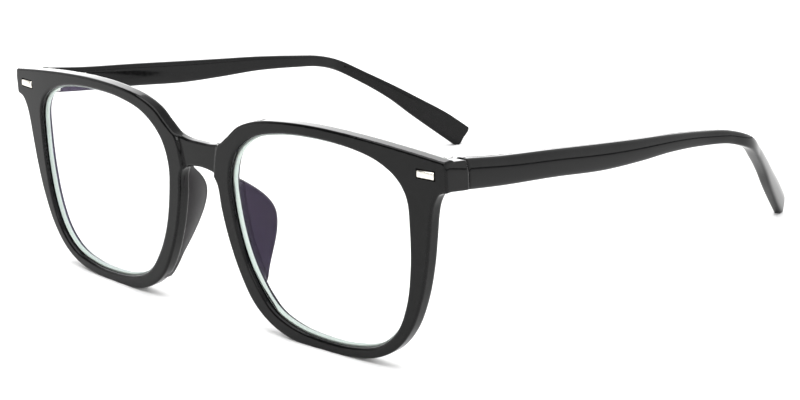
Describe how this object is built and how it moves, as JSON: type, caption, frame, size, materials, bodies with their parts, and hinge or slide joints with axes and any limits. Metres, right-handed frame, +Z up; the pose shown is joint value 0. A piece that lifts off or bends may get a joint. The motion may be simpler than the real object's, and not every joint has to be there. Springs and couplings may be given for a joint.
{
  "type": "blue light glasses",
  "caption": "Square full-rim plastic glasses with clear lenses, rivet plaques, moulded nose pads and two temples that fold on three-knuckle hinges.",
  "frame": {"origin": "on the surface the glasses rest on, half way along their overall length and on their mirror plane", "axes": "+X to the wearer's left, +Y from the front back along the open temples, +Z up"},
  "size_m": [0.1452, 0.1494, 0.0499],
  "materials": {
    "frame_plastic": "polished black injection-moulded plastic",
    "pad_plastic": "satin black moulded plastic",
    "lens": "clear lens plastic with a faint violet blue-light filter coating and a ground pale edge",
    "plaque_metal": "polished warm silver",
    "hinge_metal": "nickel silver",
    "screw_steel": "bright stainless steel"
  },
  "bodies": {
    "front": {"front_frame": "frame_plastic", "lens_left": "lens", "lens_right": "lens", "nose_pad_left": "pad_plastic", "nose_pad_right": "pad_plastic", "rivet_plaque_left": "plaque_metal", "rivet_plaque_right": "plaque_metal", "hinge_front_leaf_left": "hinge_metal", "hinge_front_leaf_right": "hinge_metal", "hinge_screw_left": "screw_steel", "hinge_screw_right": "screw_steel", "front_leaf_screw_lower_left": "screw_steel", "front_leaf_screw_lower_right": "screw_steel", "front_leaf_screw_upper_left": "screw_steel", "front_leaf_screw_upper_right": "screw_steel"},
    "temple_arm_left": {"temple_left": "frame_plastic", "hinge_temple_leaf_left": "hinge_metal", "temple_leaf_screw_front_left": "screw_steel", "temple_leaf_screw_rear_left": "screw_steel"},
    "temple_arm_right": {"temple_right": "frame_plastic", "hinge_temple_leaf_right": "hinge_metal", "temple_leaf_screw_front_right": "screw_steel", "temple_leaf_screw_rear_right": "screw_steel"}
  },
  "joints": [
    {"name": "temple_fold_left", "type": "hinge", "parent": "front", "child": "temple_arm_left", "pos_m": [0.0667, -0.06397, 0.04341], "axis": [0, -0.0204, 0.9998], "range_deg": [0, 85]},
    {"name": "temple_fold_right", "type": "hinge", "parent": "front", "child": "temple_arm_right", "pos_m": [-0.0667, -0.06397, 0.04341], "axis": [0, 0.0204, -0.9998], "range_deg": [0, 78]}
  ]
}
